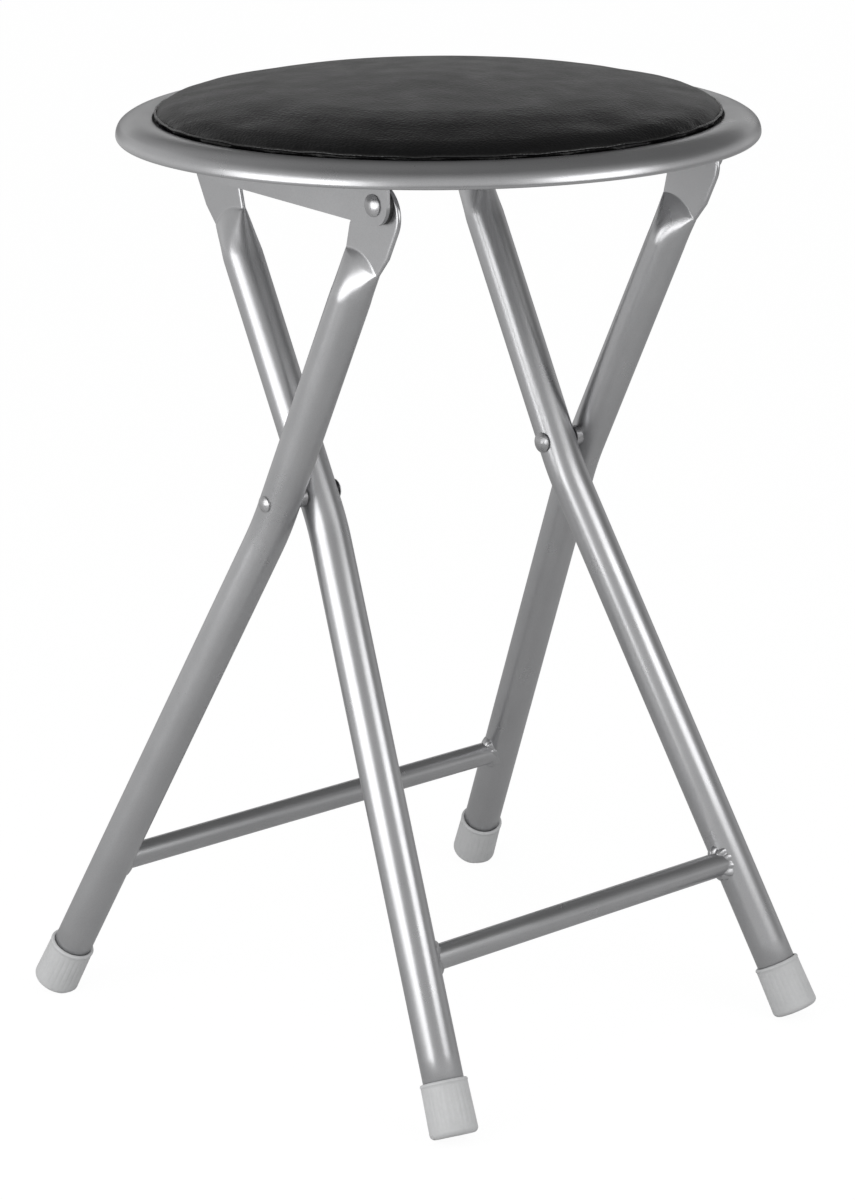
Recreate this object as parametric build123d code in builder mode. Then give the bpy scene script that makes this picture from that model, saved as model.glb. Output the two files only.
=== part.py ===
"""Padded folding stool.

Two crossed frames of bent steel tube carry a round padded seat. The seat is hinged to the tops of the
outer legs and drops over a rod that joins the tops of the inner legs, so lifting it lets the legs close.
Millimetres, +Z up. The origin is on the floor under the middle of the seat. X runs from the feet of the
outer frame to the feet of the inner frame, and Y runs along the crossbars.
"""

import os
from math import atan2, cos, pi, radians, sin, tan

from build123d import *

# Stance of the legs
leg_lean = 26.9
crossing_height = 272.0
hinge_height = 421.0
bend_height = 258.0
bend_radius = 150.0
outer_splay = 8.4
inner_splay = 7.1

# Leg tubes and their flattened tops
tube_diameter = 19.0
tube_wall = 1.2
outer_plane = 97.4
frame_gap = 3.0
blade_end_below_hinge = 6.0
blade_straight = 20.0
crease_below_hinge = 31.0
crease_width = 24.0
flattening_length = 23.0

# Crossbars and their welds
crossbar_height = 74.0
crossbar_diameter = 12.0
crossbar_wall = 1.0
weld_leg = 2.2

# Foot caps
cap_length = 25.5
cap_wall = 1.4
cap_bottom_wall = 3.5
cap_flare = 0.4
cap_edge_round = 2.5
cap_lip_height = 1.6
cap_lip_step = 0.25
cap_worn_flat = 1.0

# Rivets, washers and the rod between the inner leg tops
rivet_diameter = 6.0
rivet_head_diameter = 10.0
rivet_head_height = 2.4
rivet_head_edge = 0.5
peened_end_diameter = 7.6
peened_end_height = 1.75
spacer_diameter = 10.0
hinge_washer_diameter = 18.0
hinge_washer_thickness = 2.2
rod_diameter = 8.0

# Running clearances
turning_clearance = 0.06
side_play = 0.1
catch_clearance = 0.3
outline_tolerance = 0.001

# Seat pan
seat_diameter = 300.0
pan_above_hinge = 16.4
pan_sheet = 1.0
rim_width = 16.5
lip_height = 4.3
lip_run = 1.6
rim_edge_radius = 5.0
rim_edge_drop = 2.5
rim_shoulder_angle = 60.0
rim_turn_under = 33.0

# Padded seat
cover_thickness = 0.9
cover_gap = 1.6
hem_width = 25.0
board_thickness = 5.0
board_inset = 4.0
board_bevel = 1.7
crown_height = 20.1
crown_flat_inset = 46.9
crown_flat_drop = 3.0
shoulder_inset = 18.9
shoulder_drop = 7.6
pad_waist_height = 5.6
pad_draw_in = 1.2

# Seat brackets
bracket_sheet = 2.0
bracket_foot_width = 22.0
bracket_rear_end = 45.0
bracket_rear_depth = 20.5
bracket_ear_radius = 9.2
bracket_foot_setback = 4.0
bracket_bend_radius = 2.5

# Catches and screws
catch_spacing = 88.0
catch_width = 22.0
catch_base_length = 44.0
catch_base_thickness = 5.0
catch_wall = 6.0
catch_tip_drop = 6.0
catch_shoulder = 2.2
screw_diameter = 4.0
screw_head_diameter = 8.0
screw_head_height = 2.2
screw_bite = 4.2
screw_hole_clearance = 0.25
catch_screw_spacing = 32.0
front_screw_reach = 80.0
front_screw_spacing = 80.0

# Places that follow from the sizes above
tube_radius = tube_diameter / 2
inner_plane = outer_plane - tube_diameter - frame_gap
lean_sine = sin(radians(leg_lean))
lean_cosine = cos(radians(leg_lean))
hinge_reach = (hinge_height - crossing_height) / lean_cosine
hinge_offset = hinge_reach * lean_sine
bend_reach = (bend_height - crossing_height) / lean_cosine
blade_width = pi / 2 * (tube_diameter - tube_wall) + tube_wall
blade_thickness = 2 * tube_wall
round_below_hinge = crease_below_hinge + flattening_length
crossbar_reach = (crossbar_height - crossing_height) / lean_cosine
crossbar_radius = crossbar_diameter / 2
rivet_radius = rivet_diameter / 2
rivet_head_radius = rivet_head_diameter / 2
peened_end_radius = peened_end_diameter / 2
rod_radius = rod_diameter / 2
seat_radius = seat_diameter / 2
lip_radius = seat_radius - rim_width
pan_floor_height = hinge_height + pan_above_hinge
pan_top = pan_floor_height + pan_sheet
lip_top = pan_floor_height + lip_height
rim_edge_height = pan_floor_height - rim_edge_drop
screw_radius = screw_diameter / 2
NEAR, FAR = -1, 1
OUTER, INNER = 1, -1


def leg_plane(frame_side, y_side):
    """Plane of one leg's centreline: x points out of the stool, y points up along the leg."""
    up_leg = Vector(frame_side * lean_sine, 0, lean_cosine)
    outward = Vector(0, y_side, 0)
    return Plane(origin=(0, 0, crossing_height), x_dir=outward, z_dir=outward.cross(up_leg))


def leg_offset(frame_side):
    """Distance of a leg's straight upper part from the middle plane."""
    return outer_plane if frame_side == OUTER else inner_plane


def leg_splay(frame_side):
    return radians(outer_splay if frame_side == OUTER else inner_splay)


def cap_bottom_point(frame_side):
    """Centre of a foot cap's bottom in the leg's plane, set so that the worn flat lies on the floor."""
    foot_slope = lean_cosine * cos(leg_splay(frame_side))
    cap_radius = tube_radius + cap_wall + cap_flare
    lowest_drop = (cap_radius - cap_edge_round) * (1 - foot_slope**2) ** 0.5 + cap_edge_round * (1 - foot_slope)
    reach = (lowest_drop - cap_worn_flat - crossing_height) / lean_cosine
    return (leg_offset(frame_side) + (bend_reach - reach) * tan(leg_splay(frame_side)), reach)


def lower_leg_plane(frame_side, y_side):
    """Plane square to the lower leg at the bottom of its cap, with its normal pointing up the leg."""
    frame = leg_plane(frame_side, y_side)
    splay = leg_splay(frame_side)
    up_leg = frame.x_dir * -sin(splay) + frame.y_dir * cos(splay)
    origin = frame.from_local_coords(cap_bottom_point(frame_side))
    return Plane(origin=origin, x_dir=frame.z_dir, z_dir=up_leg)


def cross_plane(frame_side, y_side, reach):
    """Plane square to the straight upper leg at a distance up from the crossing."""
    frame = leg_plane(frame_side, y_side)
    origin = frame.from_local_coords((leg_offset(frame_side), reach))
    return Plane(origin=origin, x_dir=frame.z_dir, z_dir=frame.y_dir)


def pin_plane(x, z):
    """Plane through a pin's axis: local x runs along Y, local y is the radius."""
    return Plane(origin=(x, 0, z), x_dir=(0, 1, 0), z_dir=(1, 0, 0))


def pin_axis(x, z):
    return Axis((x, 0, z), (0, 1, 0))


def pressed_outline(width, thickness, end_radius):
    """Outline of the tube at one stage of its flattening: two bulged or flat sides and two round ends."""
    half_width = width / 2
    half_thickness = thickness / 2
    end_centre = half_width - end_radius
    if end_centre < outline_tolerance:
        corner = (half_width * cos(pi / 4), half_width * sin(pi / 4))
    elif half_thickness - end_radius < outline_tolerance:
        corner = (end_centre, half_thickness)
    else:
        side_radius = half_width**2 + half_thickness**2 - 2 * half_width * end_radius
        side_radius /= 2 * (half_thickness - end_radius)
        slope = atan2(side_radius - half_thickness, end_centre)
        corner = (end_centre + end_radius * cos(slope), end_radius * sin(slope))
    x, y = corner
    with BuildSketch() as outline:
        with BuildLine():
            for side in (1, -1):
                if half_thickness - y > outline_tolerance:
                    ThreePointArc((side * x, side * y), (0, side * half_thickness), (-side * x, side * y))
                else:
                    Line((side * x, side * y), (-side * x, side * y))
                ThreePointArc((-side * x, side * y), (-side * half_width, 0), (-side * x, -side * y))
        make_face()
    return outline.sketch


def flattening(frame_side, y_side, wall, first_stage):
    """Tube between the pressed crease and its round part, drawn in by a wall for the hollow inside."""
    stages = (
        (0.0, crease_width, blade_thickness, tube_wall),
        (0.3, 0.9 * crease_width, 0.55 * tube_diameter, 0.2 * tube_diameter),
        (0.65, 1.03 * tube_diameter, 0.88 * tube_diameter, 0.38 * tube_diameter),
        (1.0, tube_diameter, tube_diameter, tube_radius),
    )
    with BuildPart() as swell:
        for share, width, thickness, end_radius in stages[first_stage:]:
            reach = hinge_reach - crease_below_hinge - share * flattening_length
            with BuildSketch(cross_plane(frame_side, y_side, reach)):
                add(pressed_outline(width - 2 * wall, thickness - 2 * wall, end_radius - wall))
        loft()
    return swell.part


def make_leg(frame_side, y_side, crossing_hole_radius):
    """One leg: bent tube, flattened at the top into a drilled blade with a round end."""
    frame = leg_plane(frame_side, y_side)
    offset_out = leg_offset(frame_side)
    foot_out, foot_reach = cap_bottom_point(frame_side)
    splay = leg_splay(frame_side)
    tube_end = (foot_out - cap_bottom_wall * sin(splay), foot_reach + cap_bottom_wall * cos(splay))
    with BuildPart() as leg:
        with BuildLine(frame) as centreline:
            FilletPolyline(
                (offset_out, hinge_reach - round_below_hinge),
                (offset_out, bend_reach),
                tube_end,
                radius=bend_radius,
            )
        tube_start = Plane(origin=centreline.line @ 0, x_dir=frame.z_dir, z_dir=centreline.line % 0)
        with BuildSketch(tube_start):
            Circle(tube_radius)
        sweep(path=centreline.line)
        add(flattening(frame_side, y_side, 0, 0))
        blade_top = blade_width / 2
        for below, width in ((-blade_top, blade_width), (blade_straight, blade_width)):
            with BuildSketch(cross_plane(frame_side, y_side, hinge_reach - below)):
                add(pressed_outline(width, blade_thickness, tube_wall))
        loft(ruled=True)
        for below, width in ((blade_straight, blade_width), (crease_below_hinge, crease_width)):
            with BuildSketch(cross_plane(frame_side, y_side, hinge_reach - below)):
                add(pressed_outline(width, blade_thickness, tube_wall))
        loft(ruled=True)

        with BuildSketch(tube_start):
            Circle(tube_radius - tube_wall)
        sweep(path=centreline.line, mode=Mode.SUBTRACT)
        add(flattening(frame_side, y_side, tube_wall, 1), mode=Mode.SUBTRACT)

        end_centre = frame.from_local_coords((offset_out, hinge_reach - blade_end_below_hinge))
        with BuildSketch(Plane(origin=end_centre, x_dir=frame.z_dir, z_dir=frame.x_dir * -1)):
            Rectangle(2 * blade_width, blade_width, align=(Align.CENTER, Align.MIN))
            Circle(blade_width / 2, mode=Mode.SUBTRACT)
        extrude(amount=blade_thickness, both=True, mode=Mode.SUBTRACT)

        hinge_point = (frame_side * hinge_offset, y_side * offset_out, hinge_height)
        with BuildSketch(Plane(origin=hinge_point, z_dir=(0, 1, 0))):
            Circle(rivet_radius)
        extrude(amount=blade_thickness, both=True, mode=Mode.SUBTRACT)
        with BuildSketch(Plane(origin=(0, y_side * offset_out, crossing_height), z_dir=(0, 1, 0))):
            Circle(crossing_hole_radius)
        extrude(amount=tube_diameter, both=True, mode=Mode.SUBTRACT)
    return leg.part


def make_cap(frame_side, y_side):
    """Push-on foot cap, flared towards its round bottom edge, with a flat worn where it meets the floor."""
    foot = lower_leg_plane(frame_side, y_side)
    section = Plane(origin=foot.origin, x_dir=foot.x_dir, z_dir=foot.x_dir.cross(foot.z_dir))
    top_radius = tube_radius + cap_wall
    bottom_radius = top_radius + cap_flare
    lip_bottom = cap_length - cap_lip_height
    with BuildPart() as cap:
        with BuildSketch(section):
            with BuildLine():
                bottom = Line((0, 0), (bottom_radius - cap_edge_round, 0))
                edge = RadiusArc(bottom @ 1, (bottom_radius, cap_edge_round), -cap_edge_round)
                Polyline(
                    edge @ 1,
                    (top_radius, lip_bottom),
                    (top_radius + cap_lip_step, lip_bottom),
                    (top_radius + cap_lip_step, cap_length),
                    (tube_radius, cap_length),
                    (tube_radius, cap_bottom_wall),
                    (0, cap_bottom_wall),
                    (0, 0),
                )
            make_face()
        revolve(axis=Axis(foot.origin, foot.z_dir))
        split(bisect_by=Plane.XY, keep=Keep.TOP)
    return cap.part


def lower_leg_bar(frame_side, y_side, radius):
    """Round bar along a lower leg, for coping what is welded to the leg."""
    with BuildPart() as bar:
        with BuildSketch(lower_leg_plane(frame_side, y_side)):
            Circle(radius)
        extrude(amount=bend_reach - cap_bottom_point(frame_side)[1])
    return bar.part


def crossbar_half_length(frame_side):
    """Distance from the middle plane to the leg's axis at the crossbar."""
    return leg_offset(frame_side) + (bend_reach - crossbar_reach) * tan(leg_splay(frame_side))


def make_crossbar(frame_side):
    """Thin tube between the lower legs, its ends coped to them."""
    bar_plane = Plane(origin=(frame_side * crossbar_reach * lean_sine, 0, crossbar_height), z_dir=(0, 1, 0))
    with BuildPart() as bar:
        with BuildSketch(bar_plane):
            Circle(crossbar_radius)
            Circle(crossbar_radius - crossbar_wall, mode=Mode.SUBTRACT)
        extrude(amount=crossbar_half_length(frame_side), both=True)
        for y_side in (NEAR, FAR):
            add(lower_leg_bar(frame_side, y_side, tube_radius), mode=Mode.SUBTRACT)
    return bar.part


def make_welds(frame_side):
    """Weld bead round each end of a crossbar, following the saddle where bar and leg meet."""
    bar_plane = Plane(origin=(frame_side * crossbar_reach * lean_sine, 0, crossbar_height), z_dir=(0, 1, 0))
    with BuildPart() as welds:
        with BuildSketch(bar_plane):
            Circle(crossbar_radius + weld_leg)
            Circle(crossbar_radius, mode=Mode.SUBTRACT)
        extrude(amount=crossbar_half_length(frame_side))
        add(lower_leg_bar(frame_side, FAR, tube_radius + weld_leg), mode=Mode.INTERSECT)
        add(lower_leg_bar(frame_side, FAR, tube_radius), mode=Mode.SUBTRACT)
        mirror(about=Plane.XZ)
    return welds.part


def domed_pin_outline(y_side, inner_seat, outer_seat, outer_radius, outer_height):
    """Half outline of a rivet with a domed end beyond each seat, in a pin plane."""
    inner_rim = (y_side * (inner_seat - rivet_head_edge), rivet_head_radius)
    outer_rim = (y_side * (outer_seat + rivet_head_edge), outer_radius)
    with BuildSketch() as outline:
        with BuildLine():
            inner_dome = TangentArc((y_side * (inner_seat - rivet_head_height), 0), inner_rim, tangent=(0, 1))
            outer_dome = TangentArc((y_side * (outer_seat + outer_height), 0), outer_rim, tangent=(0, 1))
            Polyline(
                inner_rim,
                (y_side * inner_seat, rivet_head_radius),
                (y_side * inner_seat, rivet_radius),
                (y_side * outer_seat, rivet_radius),
                (y_side * outer_seat, outer_radius),
                outer_rim,
            )
            Line(inner_dome @ 0, outer_dome @ 0)
        make_face()
    return outline.sketch


def make_crossing_rivet(y_side):
    """Rivet through both tubes where the frames cross, its peened end shaped to the outer tube."""
    crossing = Plane(origin=(0, y_side * outer_plane, crossing_height), z_dir=(0, y_side, 0))
    with BuildPart() as rivet:
        with BuildSketch(crossing):
            Circle(peened_end_radius)
        extrude(amount=tube_radius)
        with BuildSketch(cross_plane(OUTER, y_side, 0)):
            Circle(tube_radius)
        extrude(amount=rivet_head_diameter, both=True, mode=Mode.SUBTRACT)
        with BuildSketch(pin_plane(0, crossing_height)):
            inner_seat = inner_plane - tube_radius - side_play
            outer_seat = outer_plane + tube_radius
            add(domed_pin_outline(y_side, inner_seat, outer_seat, peened_end_radius, peened_end_height))
        revolve(axis=pin_axis(0, crossing_height))
    return rivet.part


def make_crossing_spacer(y_side):
    """Bush on the crossing rivet that holds the two tubes apart, one end shaped to the outer tube."""
    inner_face = inner_plane + tube_radius + side_play
    with BuildPart() as spacer:
        with BuildSketch(Plane(origin=(0, y_side * inner_face, crossing_height), z_dir=(0, y_side, 0))):
            Circle(spacer_diameter / 2)
            Circle(rivet_radius, mode=Mode.SUBTRACT)
        extrude(amount=outer_plane - inner_face)
        with BuildSketch(cross_plane(OUTER, y_side, 0)):
            Circle(tube_radius)
        extrude(amount=spacer_diameter, both=True, mode=Mode.SUBTRACT)
    return spacer.part


washer_inner_face = outer_plane + tube_wall + side_play
bracket_inner_face = washer_inner_face + hinge_washer_thickness
bracket_outer_face = bracket_inner_face + bracket_sheet


def make_hinge_rivet(y_side):
    """Rivet that the seat turns on, through the bracket's ear, the washer and the flattened leg."""
    with BuildPart() as rivet:
        with BuildSketch(pin_plane(hinge_offset, hinge_height)):
            inner_seat = outer_plane - tube_wall
            outer_seat = bracket_outer_face + side_play
            add(domed_pin_outline(y_side, inner_seat, outer_seat, rivet_head_radius, rivet_head_height))
        revolve(axis=pin_axis(hinge_offset, hinge_height))
    return rivet.part


def make_hinge_washer(y_side):
    """Plastic washer between the bracket's ear and the flattened leg."""
    with BuildPart() as washer:
        face = Plane(origin=(hinge_offset, y_side * washer_inner_face, hinge_height), z_dir=(0, y_side, 0))
        with BuildSketch(face):
            Circle(hinge_washer_diameter / 2)
            Circle(rivet_radius + turning_clearance, mode=Mode.SUBTRACT)
        extrude(amount=hinge_washer_thickness)
    return washer.part


def make_bracket(y_side):
    """Bent sheet bracket: a foot welded under the pan and a side that ends in the hinge's rounded ear."""
    ear_end = hinge_offset + bracket_ear_radius
    depth = pan_floor_height - hinge_height + bracket_ear_radius
    with BuildPart() as bracket:
        section = Plane(origin=(-bracket_rear_end, 0, pan_floor_height), x_dir=(0, y_side, 0), z_dir=(y_side, 0, 0))
        with BuildSketch(section):
            with BuildLine():
                FilletPolyline(
                    (bracket_outer_face - bracket_foot_width, 0),
                    (bracket_outer_face, 0),
                    (bracket_outer_face, -depth),
                    radius=bracket_bend_radius,
                )
                Polyline(
                    (bracket_outer_face, -depth),
                    (bracket_inner_face, -depth),
                    (bracket_inner_face, -bracket_sheet),
                    (bracket_outer_face - bracket_foot_width, -bracket_sheet),
                    (bracket_outer_face - bracket_foot_width, 0),
                )
            make_face()
        extrude(amount=y_side * (bracket_rear_end + ear_end))

        side_view = Plane(origin=(0, 0, 0), x_dir=(1, 0, 0), z_dir=(0, -1, 0))
        with BuildSketch(side_view):
            with BuildLine():
                ear = CenterArc((hinge_offset, hinge_height), bracket_ear_radius, -90, 90)
                Polyline(
                    ear @ 1,
                    (ear_end, pan_floor_height),
                    (-bracket_rear_end, pan_floor_height),
                    (-bracket_rear_end, pan_floor_height - bracket_rear_depth),
                    ear @ 0,
                )
            make_face()
            with Locations((hinge_offset, hinge_height)):
                Circle(rivet_radius + turning_clearance, mode=Mode.SUBTRACT)
        extrude(amount=seat_radius, both=True, mode=Mode.INTERSECT)

        foot_end = hinge_offset - bracket_foot_setback
        foot_cut = Plane(origin=(foot_end, 0, pan_floor_height))
        with BuildSketch(foot_cut):
            with Locations((0, y_side * bracket_inner_face)):
                cut_align = (Align.MIN, Align.MAX if y_side == FAR else Align.MIN)
                Rectangle(seat_radius, bracket_foot_width, align=cut_align)
        extrude(amount=-depth, mode=Mode.SUBTRACT)
    return bracket.part


catch_screw_places = [
    (-hinge_offset + along * catch_screw_spacing / 2, y_side * catch_spacing / 2)
    for along in (-1, 1)
    for y_side in (NEAR, FAR)
]
front_screw_places = [(front_screw_reach, y_side * front_screw_spacing / 2) for y_side in (NEAR, FAR)]


def make_catch(y_side):
    """Moulded hook under the pan that drops over the rod and stops the leg tops from spreading."""
    groove_radius = rod_radius + catch_clearance
    rod_to_pan = pan_floor_height - hinge_height
    with BuildPart() as catch:
        middle = Plane(
            origin=(-hinge_offset, y_side * catch_spacing / 2, hinge_height), x_dir=(1, 0, 0), z_dir=(0, -1, 0)
        )
        with BuildSketch(middle):
            with BuildLine():
                Polyline(
                    (-groove_radius - catch_wall, rod_to_pan - catch_base_thickness),
                    (-groove_radius - catch_wall, -catch_tip_drop),
                    (-groove_radius - catch_wall / 2, -catch_tip_drop),
                    (-groove_radius, -catch_tip_drop + catch_wall / 2),
                    (-groove_radius, 0),
                    (0, 0),
                    (0, catch_shoulder),
                    (groove_radius + catch_wall / 2, catch_shoulder),
                    (groove_radius + catch_wall / 2, rod_to_pan - catch_base_thickness),
                    (catch_base_length / 2, rod_to_pan - catch_base_thickness),
                    (catch_base_length / 2, rod_to_pan),
                    (-catch_base_length / 2, rod_to_pan),
                    (-catch_base_length / 2, rod_to_pan - catch_base_thickness),
                    close=True,
                )
            make_face()
            Circle(groove_radius, mode=Mode.SUBTRACT)
        extrude(amount=catch_width / 2, both=True)
        with Locations(*[(x, y, pan_floor_height) for x, y in catch_screw_places if y * y_side > 0]):
            Hole(screw_radius + screw_hole_clearance, depth=catch_base_thickness)
    return catch.part


def make_screw(place, seat_height):
    """Wood screw driven up into the pad's board, with a domed head below its seat."""
    with BuildPart() as screw:
        with BuildSketch(Plane(origin=(*place, 0), x_dir=(1, 0, 0), z_dir=(0, -1, 0))):
            with BuildLine():
                dome = TangentArc(
                    (0, seat_height - screw_head_height),
                    (screw_head_diameter / 2, seat_height - rivet_head_edge),
                    tangent=(1, 0),
                )
                Polyline(
                    dome @ 1,
                    (screw_head_diameter / 2, seat_height),
                    (screw_radius, seat_height),
                    (screw_radius, board_bottom + screw_bite - screw_radius),
                    (0, board_bottom + screw_bite),
                    dome @ 0,
                )
            make_face()
        revolve(axis=Axis((*place, 0), (0, 0, 1)))
    return screw.part


def pad_outline(inset):
    """Half outline of the pad in XZ: crown, shoulder, full edge and a side drawn in towards the pan."""
    top = pan_top + crown_height - inset
    pad_radius = lip_radius - cover_gap
    widest = pad_radius - inset
    crown_end = (pad_radius - crown_flat_inset, top - crown_flat_drop)
    shoulder_end = (pad_radius - shoulder_inset, top - shoulder_drop)
    with BuildSketch() as outline:
        with BuildLine():
            crown = TangentArc((0, top), crown_end, tangent=(1, 0))
            shoulder = TangentArc(crown @ 1, shoulder_end, tangent=crown % 1)
            edge = TangentArc(shoulder @ 1, (widest, pan_top + pad_waist_height), tangent=shoulder % 1)
            Polyline(
                edge @ 1,
                (widest - pad_draw_in, pan_top + inset),
                (0, pan_top + inset),
                (0, top),
            )
        make_face()
    return outline.sketch


board_bottom = pan_top + cover_thickness
board_radius = lip_radius - cover_gap - pad_draw_in - board_inset


def board_disc():
    """Round base board with a bevelled top edge."""
    with BuildPart() as disc:
        with BuildSketch(Plane.XY.offset(board_bottom)):
            Circle(board_radius)
        extrude(amount=board_thickness)
        chamfer(disc.edges().group_by(Axis.Z)[-1], board_bevel)
    return disc.part


with BuildPart() as seat_pan:
    with BuildSketch(Plane.XZ):
        with BuildLine():
            edge_centre = (seat_radius - rim_edge_radius, rim_edge_height)
            rolled_turn = rim_turn_under + rim_shoulder_angle
            rolled = CenterArc(edge_centre, rim_edge_radius - pan_sheet / 2, -rim_turn_under, rolled_turn)
            lip = (lip_radius - pan_sheet / 2, lip_top - pan_sheet / 2)
            rim = TangentArc(rolled @ 1, lip, tangent=rolled % 1)
            Polyline(
                rim @ 1,
                (lip_radius - pan_sheet / 2 - lip_run, pan_floor_height + pan_sheet / 2),
                (0, pan_floor_height + pan_sheet / 2),
            )
        trace(line_width=pan_sheet)
    revolve(axis=Axis.Z)
    with BuildSketch(Plane.XY.offset(pan_floor_height)):
        with Locations(*catch_screw_places, *front_screw_places):
            Circle(screw_radius + screw_hole_clearance)
    extrude(amount=pan_sheet, mode=Mode.SUBTRACT)

with BuildPart() as pad_screws:
    for place in catch_screw_places:
        add(make_screw(place, pan_floor_height - catch_base_thickness))
    for place in front_screw_places:
        add(make_screw(place, pan_floor_height))

with BuildPart() as seat_board:
    add(board_disc())
    add(pad_screws.part, mode=Mode.SUBTRACT)

with BuildPart() as seat_foam:
    with BuildSketch(Plane.XZ):
        add(pad_outline(cover_thickness))
    revolve(axis=Axis.Z)
    add(board_disc(), mode=Mode.SUBTRACT)

with BuildPart() as seat_cover:
    with BuildSketch(Plane.XZ):
        add(pad_outline(0))
    revolve(axis=Axis.Z)
    with BuildSketch(Plane.XZ):
        add(pad_outline(cover_thickness))
    revolve(axis=Axis.Z, mode=Mode.SUBTRACT)
    with BuildSketch(Plane.XY.offset(pan_top)):
        Circle(lip_radius - cover_gap - pad_draw_in - hem_width)
    extrude(amount=cover_thickness, mode=Mode.SUBTRACT)

with BuildPart() as top_rod:
    with BuildSketch(pin_plane(-hinge_offset, hinge_height)):
        blade_outside = inner_plane + tube_wall
        rod_end = rivet_head_radius, rivet_head_height
        add(domed_pin_outline(FAR, -blade_outside, blade_outside, *rod_end))
    revolve(axis=pin_axis(-hinge_offset, hinge_height))
    with BuildSketch(Plane(origin=(-hinge_offset, 0, hinge_height), z_dir=(0, 1, 0))):
        Circle(rod_radius)
    extrude(amount=inner_plane - tube_wall, both=True)

pieces = {
    "seat_pan": seat_pan.part,
    "seat_board": seat_board.part,
    "seat_foam": seat_foam.part,
    "seat_cover": seat_cover.part,
    "pad_screws": pad_screws.part,
    "top_rod": top_rod.part,
    "outer_crossbar": make_crossbar(OUTER),
    "inner_crossbar": make_crossbar(INNER),
    "outer_welds": make_welds(OUTER),
    "inner_welds": make_welds(INNER),
}
for side_name, y_side in (("near", NEAR), ("far", FAR)):
    pieces[f"outer_leg_{side_name}"] = make_leg(OUTER, y_side, rivet_radius)
    pieces[f"inner_leg_{side_name}"] = make_leg(INNER, y_side, rivet_radius + turning_clearance)
    pieces[f"outer_foot_cap_{side_name}"] = make_cap(OUTER, y_side)
    pieces[f"inner_foot_cap_{side_name}"] = make_cap(INNER, y_side)
    pieces[f"crossing_rivet_{side_name}"] = make_crossing_rivet(y_side)
    pieces[f"crossing_spacer_{side_name}"] = make_crossing_spacer(y_side)
    pieces[f"hinge_rivet_{side_name}"] = make_hinge_rivet(y_side)
    pieces[f"hinge_washer_{side_name}"] = make_hinge_washer(y_side)
    pieces[f"seat_bracket_{side_name}"] = make_bracket(y_side)
    pieces[f"rod_catch_{side_name}"] = make_catch(y_side)

os.makedirs("parts", exist_ok=True)
for name, piece in pieces.items():
    piece.label = name
    export_step(piece, f"parts/{name}.step")
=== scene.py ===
"""Padded folding stool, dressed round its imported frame.

Metres, +Z up, in the frame's own axes: the floor is at zero under the middle of the seat, X runs from the
outer frame's feet to the inner frame's feet, and Y runs along the crossbars.
"""

import math
import random

import bmesh
import bpy
import numpy as np
from mathutils import Matrix, Vector


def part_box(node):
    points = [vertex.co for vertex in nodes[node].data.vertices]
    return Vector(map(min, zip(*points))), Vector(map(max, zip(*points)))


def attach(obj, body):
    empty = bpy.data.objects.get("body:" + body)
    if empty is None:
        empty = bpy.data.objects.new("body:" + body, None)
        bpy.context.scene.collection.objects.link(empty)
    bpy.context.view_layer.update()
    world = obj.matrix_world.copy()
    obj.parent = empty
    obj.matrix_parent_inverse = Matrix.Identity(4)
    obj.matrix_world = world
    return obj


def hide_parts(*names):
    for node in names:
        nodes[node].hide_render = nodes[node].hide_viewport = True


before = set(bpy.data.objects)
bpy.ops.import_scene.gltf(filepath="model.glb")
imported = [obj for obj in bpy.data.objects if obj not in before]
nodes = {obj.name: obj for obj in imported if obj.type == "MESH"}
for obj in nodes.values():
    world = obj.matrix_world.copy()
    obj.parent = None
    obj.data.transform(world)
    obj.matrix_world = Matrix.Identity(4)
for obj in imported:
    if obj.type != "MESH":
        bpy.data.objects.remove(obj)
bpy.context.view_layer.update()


# Legs and crossbars: bent steel tube with thinner tubes welded across, sprayed as one with a silver-grey
# metallic paint. The paint is satin, with fine flake, a faint orange peel and slow changes of tone.
def start_material(name):
    """New material with its node tree and its main shader."""
    material = bpy.data.materials.new(name)
    material.use_nodes = True
    tree = material.node_tree
    return material, tree, tree.nodes["Principled BSDF"]


def add_noise(tree, scale, detail):
    """Noise in the part's own metres, as a 0 to 1 value."""
    place = tree.nodes.new("ShaderNodeTexCoord")
    noise = tree.nodes.new("ShaderNodeTexNoise")
    noise.inputs["Scale"].default_value = scale
    noise.inputs["Detail"].default_value = detail
    tree.links.new(place.outputs["Object"], noise.inputs["Vector"])
    return noise.outputs["Fac"]


def add_range(tree, value, low, high, start=0.3, end=0.7):
    """Maps a noise's usual span to a range of values."""
    spread = tree.nodes.new("ShaderNodeMapRange")
    spread.inputs["From Min"].default_value = start
    spread.inputs["From Max"].default_value = end
    spread.inputs["To Min"].default_value = low
    spread.inputs["To Max"].default_value = high
    tree.links.new(value, spread.inputs["Value"])
    return spread.outputs["Result"]


def add_tones(tree, value, dark, light, start=0.3, end=0.7):
    """Colour between two tones, following a noise."""
    ramp = tree.nodes.new("ShaderNodeValToRGB")
    ramp.color_ramp.elements[0].position = start
    ramp.color_ramp.elements[0].color = (*dark, 1)
    ramp.color_ramp.elements[1].position = end
    ramp.color_ramp.elements[1].color = (*light, 1)
    tree.links.new(value, ramp.inputs["Fac"])
    return ramp.outputs["Color"]


def add_mix(tree, share, first, second):
    """Mixes two colours by a number or by another node."""
    mix = tree.nodes.new("ShaderNodeMix")
    mix.data_type = "RGBA"
    if isinstance(share, float):
        mix.inputs["Factor"].default_value = share
    else:
        tree.links.new(share, mix.inputs["Factor"])
    tree.links.new(first, mix.inputs["A"])
    tree.links.new(second, mix.inputs["B"])
    return mix.outputs["Result"]


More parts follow.
